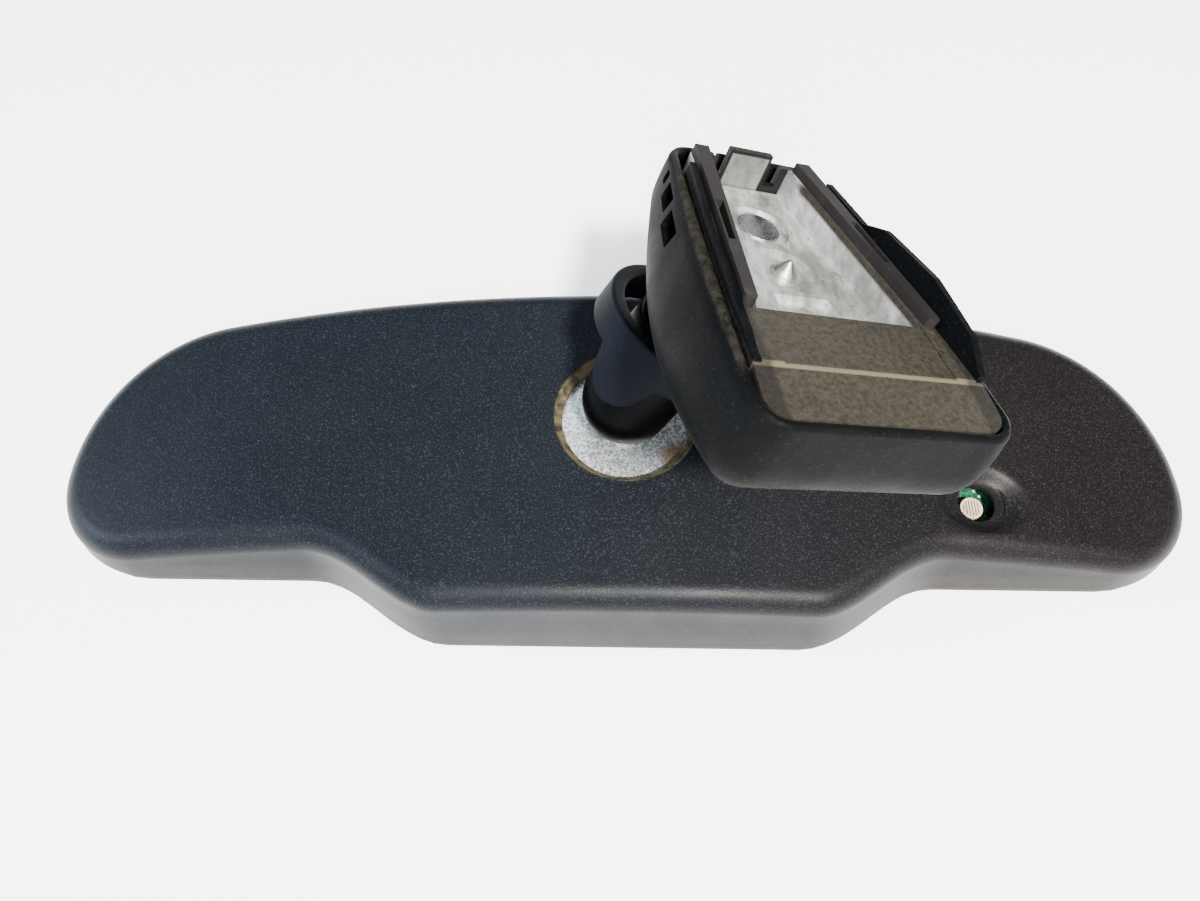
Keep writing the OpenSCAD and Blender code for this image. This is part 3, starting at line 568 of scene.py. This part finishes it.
def back_ring(outline, angle, top, radius, extra):
    """Ring of the back's rounded edge: angle 0 is the top of the wall, 90 degrees the back face."""
    ring = []
    for point, normal in outline:
        wall = top - radius - SEAM_Z - fall(point.x)
        inset = extra + wall * math.tan(BACK_DRAFT) + radius * (1 - math.cos(angle))
        place = point + inset * normal
        ring.append(Vector((place.x, place.y, top - radius * (1 - math.sin(angle)) - fall(place.x))))
    return ring


def smooth(t):
    t = min(max(t, 0.0), 1.0)
    return t * t * (3 - 2 * t)


def back_height(x, y):
    """Height of the outer back face, with the sensor's dish and the opening's chamfered lip."""
    height = BACK_TOP - fall(x)
    reach = math.hypot((x - SENSOR_X) / DISH_ACROSS, (y - SENSOR_Y) / DISH_ALONG)
    inner = SENSOR_R / DISH_ALONG
    height -= DISH_D * (1 - smooth((reach - inner) / (1 - inner)))
    radius = math.hypot(x, y - BALL_Y)
    lip = (OPENING_R + LIP_W - radius) / LIP_W
    return height - LIP_D * min(max(lip, 0.0), 1.0)


def inner_height(x, y):
    """Height of the inner back face."""
    return BACK_TOP - HEAD_WALL - fall(x)


def circle(x, y, radius, steps):
    return [Vector((x + radius * math.cos(2 * math.pi * i / steps),
                    y + radius * math.sin(2 * math.pi * i / steps))) for i in range(steps)]


def slot(x, y, half_w, half_d, corner, steps=5):
    """A rectangle with rounded corners."""
    out = []
    for k, (sx, sy) in enumerate(((1, -1), (1, 1), (-1, 1), (-1, -1))):
        centre = Vector((x + sx * (half_w - corner), y + sy * (half_d - corner)))
        for i in range(steps + 1):
            a = math.pi / 2 * (k - 1 + i / steps)
            out.append(centre + corner * Vector((math.cos(a), math.sin(a))))
    return out


def inside(point, loop):
    """True where point lies within a closed loop of points."""
    odd = False
    for i, a in enumerate(loop):
        b = loop[i - 1]
        if (a.y > point.y) != (b.y > point.y):
            if point.x < a.x + (point.y - a.y) * (b.x - a.x) / (b.y - a.y):
                odd = not odd
    return odd


def near_loop(point, loop, gap):
    """True where point is less than gap from any point of loop."""
    return any((point - Vector(q[:2])).length < gap for q in loop)


def sheet_mesh(outer, holes, extras, height, spacing):
    """Triangles between an outer loop and holes; returns 3-D verts, faces and each loop's indices."""
    loops = [[Vector(q[:2]) for q in outer]] + holes
    points = []
    edges = []
    for loop in loops:
        base = len(points)
        points += loop
        edges += [(base + i, base + (i + 1) % len(loop)) for i in range(len(loop))]
    fixed = list(points) + [p for ring in extras for p in ring]
    for ring in extras:
        points += [p for p in ring if inside(p, loops[0])]
    xs = [p.x for p in loops[0]]
    ys = [p.y for p in loops[0]]
    rows = int((max(ys) - min(ys)) / (spacing * 0.87)) + 1
    columns = int((max(xs) - min(xs)) / spacing) + 1
    for j in range(rows):
        for i in range(columns):
            p = Vector((min(xs) + (i + 0.5 * (j % 2)) * spacing, min(ys) + j * spacing * 0.87))
            if not inside(p, loops[0]) or any(inside(p, hole) for hole in holes):
                continue
            if not near_loop(p, fixed, 0.7 * spacing):
                points.append(p)
    verts2, _, faces, sources, _, _ = delaunay_2d_cdt(points, edges, [], 1, 1e-4)
    kept = []
    for face in faces:
        middle = sum((verts2[i] for i in face), Vector((0, 0))) / len(face)
        if inside(middle, loops[0]) and not any(inside(middle, hole) for hole in holes):
            kept.append(list(face))
    where = {}
    for new, olds in enumerate(sources):
        for old in olds:
            where[old] = new
    indices = []
    base = 0
    for loop in loops:
        indices.append([where[base + i] for i in range(len(loop))])
        base += len(loop)
    outer_z = {indices[0][i]: q[2] for i, q in enumerate(outer)}
    verts = [Vector((p.x, p.y, outer_z.get(i, height(p.x, p.y)))) for i, p in enumerate(verts2)]
    return verts, kept, indices


def bridge(verts, faces, first, second):
    """Quads between two loops of indices."""
    n = len(first)
    for i in range(n):
        k = (i + 1) % n
        faces.append((first[i], first[k], second[k], second[i]))


def add_loop(verts, points):
    """Adds points to verts and returns their indices."""
    start = len(verts)
    verts += points
    return list(range(start, start + len(points)))


def rear_housing():
    """Closed shell: outer skin, rounded edge, drafted wall, inner skin, and walls of three openings."""
    outline = head_outline()
    steps = 12
    header_mid = (HEADER_LOW + HEADER_HIGH) / 2 / MM
    header_half = (HEADER_HIGH - HEADER_LOW) / 2 / MM
    header_loop = slot(header_mid.x, header_mid.y, header_half.x + 0.5, header_half.y + 0.5, 0.8)
    opening = circle(0, BALL_Y, OPENING_R, 128)
    boss = circle(0, BALL_Y, OPENING_R + BOSS_W, 128)
    sensor = circle(SENSOR_X, SENSOR_Y, SENSOR_R, 64)
    sensor_boss = circle(SENSOR_X, SENSOR_Y, SENSOR_R + HEAD_WALL, 64)
    lip_rings = [circle(0, BALL_Y, OPENING_R + LIP_W, 128), circle(0, BALL_Y, OPENING_R + LIP_W + 0.5, 128)]
    dish_rings = [circle(SENSOR_X, SENSOR_Y, SENSOR_R + 0.8 * k, 64) for k in range(1, 10)]
    outer_edge = back_ring(outline, math.pi / 2, BACK_TOP, BACK_EDGE_R, 0)
    inner_r = BACK_EDGE_R - HEAD_WALL
    inner_edge = back_ring(outline, math.pi / 2, BACK_TOP - HEAD_WALL, inner_r, HEAD_WALL)
    verts, faces, outer = sheet_mesh(outer_edge, [opening, sensor, header_loop],
                                     lip_rings + dish_rings, back_height, 2.5)
    more, more_faces, inner = sheet_mesh(inner_edge, [boss, sensor_boss, header_loop], [], inner_height, 5)
    shift = len(verts)
    verts += more
    faces += [[i + shift for i in face] for face in more_faces]
    inner = [[i + shift for i in loop] for loop in inner]
    # Rounded edges and walls, down to the seam
    ends = []
    for loop, top, radius, extra in ((outer[0], BACK_TOP, BACK_EDGE_R, 0),
                                     (inner[0], BACK_TOP - HEAD_WALL, inner_r, HEAD_WALL)):
        last = loop
        for k in range(steps - 1, -1, -1):
            ring = add_loop(verts, back_ring(outline, math.pi / 2 * k / steps, top, radius, extra))
            bridge(verts, faces, last, ring)
            last = ring
        wall_top = [verts[i] for i in last]
        for t in (0.25, 0.5, 0.75, 1.0):
            ring = add_loop(verts, [top_point.lerp(Vector((*(p + extra * n), SEAM_Z)), t)
                                    for top_point, (p, n) in zip(wall_top, outline)])
            bridge(verts, faces, last, ring)
            last = ring
        ends.append(last)
    bridge(verts, faces, ends[0], ends[1])
    # Walls of the ball opening and of the sensor's hole, and the slot for the header
    for hole, far, out_loop, in_loop, low in (
            (opening, boss, outer[1], inner[1], PLATE_TOP + 0.3),
            (sensor, sensor_boss, outer[2], inner[2], back_height(SENSOR_X, SENSOR_Y) - 1.5)):
        near_ring = add_loop(verts, [Vector((p.x, p.y, low)) for p in hole])
        far_ring = add_loop(verts, [Vector((p.x, p.y, low)) for p in far])
        bridge(verts, faces, out_loop, near_ring)
        bridge(verts, faces, near_ring, far_ring)
        bridge(verts, faces, far_ring, in_loop)
    bridge(verts, faces, outer[3], inner[3])
    obj = new_object("rear_housing_shell", [v * MM for v in verts], faces)
    paint(obj, LOOKS["housing_plastic"])
    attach(obj, "head")
    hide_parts("rear_housing")


# ---------------------------------------------------------------- foot's cover, in the foot's millimetres

FOOT_NEAR = 22.5
FOOT_FAR = 14.3
FOOT_L = 71
NEAR_V = -54
SIDE_BULGE = 1.3
FOOT_CORNER = 5.5
RIM_W = 16
RIM_RISE = 1
COVER_D = 15
COVER_WALL = 1.6
COVER_BELLY = 4.5
COVER_BULGE = 3.6
BULGE_SKEW = 0.75
NEAR_DROP = 2
BOWL_IN = 5
BOWL_H = 8
STAY_HOLE_R = 11.2
SCREW_HOLE_R = 3.1
SCREW_V = -13
TAB_HALF = 4.3
NOTCH_W = 2.6
FLOOR_W = 12.2
NOTCH_V = 4.5
NOTCH_DEPTH = 5
# Start and end along the foot, and lower and upper edge, of each window in the left wall
CLIP_WINDOWS = ((-9, -2, 10.6, 13.8), (0, 5.5, 11.6, 14.6), (7.5, 9.5, 12.6, 14.8))
WINDOW_CORNER = 0.4
HOLE_FLARE = 1.1
SCREW_NARROWS = 0.4
FAR_V = NEAR_V + FOOT_L


def side_x(v):
    """Half the foot's width at v along it."""
    share = (v - NEAR_V) / FOOT_L
    return FOOT_NEAR + (FOOT_FAR - FOOT_NEAR) * share + SIDE_BULGE * math.sin(math.pi * share)


def side_angle(v):
    """Lean of the foot's side at v."""
    return math.atan(side_x(v - 0.5) - side_x(v + 0.5))


def foot_outline():
    """The foot's outline as (point, inward normal) pairs, from the near end's middle."""
    near_a = side_angle(NEAR_V + FOOT_CORNER)
    far_a = side_angle(FAR_V - FOOT_CORNER)
    start = NEAR_V + FOOT_CORNER * (1 + math.sin(near_a))
    end = FAR_V - FOOT_CORNER * (1 - math.sin(far_a))
    near_centre = (side_x(start) - FOOT_CORNER * math.cos(near_a), NEAR_V + FOOT_CORNER)
    far_centre = (side_x(end) - FOOT_CORNER * math.cos(far_a), FAR_V - FOOT_CORNER)
    half = [(Vector((near_centre[0] * i / 8, NEAR_V)), Vector((0, 1))) for i in range(8)]
    half += arc(near_centre, FOOT_CORNER, -math.pi / 2, near_a, 12)
    for i in range(1, 36):
        v = start + (end - start) * i / 36
        a = side_angle(v)
        half.append((Vector((side_x(v), v)), Vector((-math.cos(a), -math.sin(a)))))
    half += arc(far_centre, FOOT_CORNER, far_a, math.pi / 2, 12)
    half += [(Vector((far_centre[0] * i / 8, FAR_V)), Vector((0, -1))) for i in range(7, -1, -1)]
    left = [(Vector((-p.x, p.y)), Vector((-n.x, n.y))) for p, n in reversed(half[1:-1])]
    return half + left


def share_along(v):
    """0 at the foot's near end and 1 at its far end."""
    return min(max((v - NEAR_V) / FOOT_L, 0), 1)


def middle(v):
    return math.sin(math.pi * share_along(v))


def bulge(v):
    """How far the side bulges out, most a little nearer than halfway."""
    return COVER_BULGE * math.sin(math.pi * share_along(v) ** BULGE_SKEW)


def bowl_top(v):
    """Height where the side wall ends and the bowl begins."""
    drop = COVER_BELLY * middle(v) + NEAR_DROP * (1 - share_along(v)) ** 2
    return RIM_W + 1 - COVER_D + BOWL_H - drop


def rim_height(v):
    """Height of the rim, which rises halfway along."""
    return RIM_W + RIM_RISE * middle(v)


def side_ring(outline, t, wall):
    """Ring at the share t down the cover's side wall."""
    ring = []
    for p, n in outline:
        inset = wall - bulge(p.y) * math.sin(math.pi / 2 * t)
        rim = rim_height(p.y)
        ring.append(Vector((*(p + inset * n), rim + (bowl_top(p.y) - rim) * t)))
    return ring


def bowl_ring(outline, angle, wall):
    """Ring at an angle round the cover's lower edge."""
    ring = []
    for p, n in outline:
        out = bulge(p.y)
        inset = wall - out + (BOWL_IN + out - wall) * (1 - math.cos(angle))
        ring.append(Vector((*(p + inset * n), bowl_top(p.y) - (BOWL_H - wall) * math.sin(angle))))
    return ring


def rim_rings(outline, steps=4):
    """Half-round top of the rim, from the outer wall over to the inner wall."""
    radius = COVER_WALL / 2
    rings = []
    for k in range(1, steps):
        a = math.pi * k / steps
        drop = radius * (1 - math.sin(a))
        inset = radius * (1 - math.cos(a))
        rings.append([Vector((*(p + inset * n), rim_height(p.y) - drop)) for p, n in outline])
    return rings


def carve(obj, cutters):
    """Cuts closed meshes out of obj and takes them away."""
    for cutter in cutters:
        made = obj.modifiers.new("carve", "BOOLEAN")
        made.operation = "DIFFERENCE"
        made.solver = "EXACT"
        made.use_hole_tolerant = True
        made.object = cutter
    bpy.context.view_layer.update()
    carved = bpy.data.meshes.new_from_object(obj.evaluated_get(bpy.context.evaluated_depsgraph_get()))
    obj.modifiers.clear()
    obj.data = carved
    for cutter in cutters:
        bpy.data.objects.remove(cutter)


def block(low, high, round_mm=0.0):
    """A box between two corners, with rounded edges if round_mm is given."""
    xs, ys, zs = zip(low, high)
    corners = [Vector((x, y, z)) for z in zs for y in ys for x in xs]
    faces = [(0, 2, 3, 1), (4, 5, 7, 6), (0, 1, 5, 4), (2, 6, 7, 3), (0, 4, 6, 2), (1, 3, 7, 5)]
    obj = new_object("block", corners, faces)
    if round_mm:
        bm = bmesh.new()
        bm.from_mesh(obj.data)
        bmesh.ops.bevel(bm, geom=list(bm.edges), offset=round_mm, segments=3, affect="EDGES", profile=0.5)
        bm.to_mesh(obj.data)
        bm.free()
    return obj


def foot_cover():
    """Cover with a rounded rim, a deep bowl, clip windows with ribs, and notches by the far tab."""
    outline = foot_outline()
    verts = []
    faces = []
    lower = []
    for wall in (0, COVER_WALL):
        rings = [side_ring(outline, t / 8, wall) for t in range(9)]
        rings += [bowl_ring(outline, math.pi / 2 * a / 12, wall) for a in range(1, 12)]
        radius = COVER_WALL / 2
        rings[0] = [Vector((q.x, q.y, q.z - radius)) for q in rings[0]]
        hole = circle(0, 0, STAY_HOLE_R + (0 if wall else HOLE_FLARE), 64)
        screw = circle(0, SCREW_V, SCREW_HOLE_R - (0 if wall else SCREW_NARROWS), 24)

        def bottom(x, v):
            return bowl_top(v) - (BOWL_H - wall)

        edge = bowl_ring(outline, math.pi / 2, wall)
        more, more_faces, loops = sheet_mesh(edge, [hole, screw], [], bottom, 2.5)
        shift = len(verts)
        verts += more
        faces += [[i + shift for i in face] for face in more_faces]
        loops = [[i + shift for i in loop] for loop in loops]
        last = loops[0]
        for ring in reversed(rings):
            new = add_loop(verts, ring)
            bridge(verts, faces, last, new)
            last = new
        lower.append((last, loops))
    last = lower[0][0]
    for ring in rim_rings(outline):
        new = add_loop(verts, ring)
        bridge(verts, faces, last, new)
        last = new
    bridge(verts, faces, last, lower[1][0])
    for k in (1, 2):
        bridge(verts, faces, lower[0][1][k], lower[1][1][k])
    obj = new_object("foot_cover_shell", verts, faces, 50)
    left = side_x(0)
    cutters = [block((x, FAR_V - NOTCH_V, FLOOR_W - NOTCH_DEPTH), (x + NOTCH_W, FAR_V + 6, RIM_W + 6))
               for x in (-TAB_HALF - NOTCH_W, TAB_HALF)]
    for start, end, low, high in CLIP_WINDOWS:
        cutters.append(block((-left - 7, start, low), (2.4 - left, end, high), WINDOW_CORNER))
    carve(obj, cutters)
    obj.data.transform(FOOT)
    clean(obj.data)
    crisp(obj.data, 50)
    paint(obj, LOOKS["cover_plastic"])
    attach(obj, "foot")
    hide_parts("foot_cover")


# ---------------------------------------------------------------- stay's collar, in the stay's millimetres

COLLAR_R = 15.2
COLLAR_T = 3
COLLAR_S = 14.6
COLLAR_H = 7.2
COLLAR_SHIFT = 2.5
COLLAR_SIDE = math.radians(125)
TONGUE_L = 8.5
TONGUE_SIDE = math.radians(204)
TONGUE_HALF = math.radians(25)
SLEEVE_IN = 9.6
SLEEVE_OUT = 10.7
SLEEVE_TOP = 21


def hoop(verts, faces, centre, inner, outer, low, high, corner):
    """A round-edged ring; low is a function of the angle."""
    loops = []
    steps = 120
    for i in range(steps):
        a = 2 * math.pi * i / steps
        bottom = low(a)
        section = slot((inner + outer) / 2, (bottom + high) / 2,
                       (outer - inner) / 2, (high - bottom) / 2, corner)
        ring = [Vector((centre.x + q.x * math.cos(a), centre.y + q.x * math.sin(a), q.y)) for q in section]
        loops.append(add_loop(verts, ring))
    for i in range(steps):
        bridge(verts, faces, loops[i], loops[(i + 1) % steps])


def collar_low(angle):
    """Lower edge of the collar, with a tongue that ends in a round tip."""
    share = (angle - TONGUE_SIDE) / TONGUE_HALF
    return COLLAR_S - TONGUE_L * math.sqrt(max(0, 1 - share * share))


def stay_collar():
    """Wide off-centre collar with a tongue down one side, round a close sleeve."""
    verts = []
    faces = []
    centre = COLLAR_SHIFT * Vector((math.cos(COLLAR_SIDE), math.sin(COLLAR_SIDE)))
    hoop(verts, faces, centre, COLLAR_R - COLLAR_T, COLLAR_R, collar_low, COLLAR_S + COLLAR_H, 0.7)
    hoop(verts, faces, Vector((0, 0)), SLEEVE_IN, SLEEVE_OUT, lambda angle: COLLAR_S + 1, SLEEVE_TOP, 0.3)
    obj = new_object("stay_collar_ring", verts, faces)
    obj.data.transform(STAY)
    paint(obj, LOOKS["collar_plastic"])
    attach(obj, "stay")
    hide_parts("stay_collar")


# ---------------------------------------------------------------- stage, light and camera


def floor():
    """Pale paper that glows a little, so that it stays near white."""
    size = 4.0
    verts = [(-size, -size, 0), (size, -size, 0), (size, size, 0), (-size, size, 0)]
    obj = new_object("floor", verts, [(0, 1, 2, 3)])
    look = Look("floor_paper", roughness=0.9, Emission_Color=rgb(1.0, 1.0, 1.0), Emission_Strength=1.1)
    look.colour(look.mix(look.noise(0.3), rgb(0.86, 0.86, 0.87), rgb(0.90, 0.90, 0.90)))
    look.bump((look.noise(0.8 * MM), 0.02 * MM))
    paint(obj, look.material)


def area_light(name, place, target, size, power, colour):
    data = bpy.data.lights.new(name, "AREA")
    data.shape = "DISK"
    data.size = size
    data.energy = power
    data.color = colour
    obj = bpy.data.objects.new(name, data)
    bpy.context.scene.collection.objects.link(obj)
    obj.location = place
    obj.rotation_euler = (Vector(target) - Vector(place)).to_track_quat("-Z", "Y").to_euler()


def lights():
    """A dim cool dome, a lamp close by the camera, and three soft fills."""
    world = bpy.data.worlds.new("studio")
    bpy.context.scene.world = world
    world.use_nodes = True
    world.node_tree.nodes["Background"].inputs["Color"].default_value = rgb(0.86, 0.92, 1.0)
    world.node_tree.nodes["Background"].inputs["Strength"].default_value = 0.10
    area_light("window", (-1.15, -0.05, 0.62), (0, 0, 0), 0.7, 26, (0.72, 0.86, 1.0))
    area_light("lamp", (0.25, -0.55, 1.1), (0, 0, 0), 0.14, 82, (1.0, 0.96, 0.90))
    area_light("sky", (-0.12, 0.7, 1.2), (0, 0, 0), 0.8, 4, (0.70, 0.85, 1.0))
    area_light("ceiling", (-0.1, -1.0, 1.0), (0, 0, 0), 0.9, 25, (0.95, 0.98, 1.0))


CAMERA_LENS = 27.9
CAMERA_SIDE = -5.6
CAMERA_BACK = 91.3
CAMERA_HEIGHT = 201.2
CAMERA_TILT_DEG = 25
CAMERA_ROLL_DEG = 0.8


def camera():
    """Held close over the lobe side of the head, tilted from straight down."""
    data = bpy.data.cameras.new("camera")
    data.sensor_width = 36
    data.lens = CAMERA_LENS
    data.clip_start = 0.01
    obj = bpy.data.objects.new("camera", data)
    bpy.context.scene.collection.objects.link(obj)
    obj.location = (CAMERA_SIDE * MM, HEAD_BALL.y - CAMERA_BACK * MM, CAMERA_HEIGHT * MM)
    tilt = Matrix.Rotation(math.radians(CAMERA_TILT_DEG), 3, "X")
    roll = Matrix.Rotation(math.radians(CAMERA_ROLL_DEG), 3, "Z")
    obj.rotation_euler = (tilt @ roll).to_euler()
    bpy.context.scene.camera = obj


rear_housing()
foot_cover()
stay_collar()
floor()
lights()
camera()
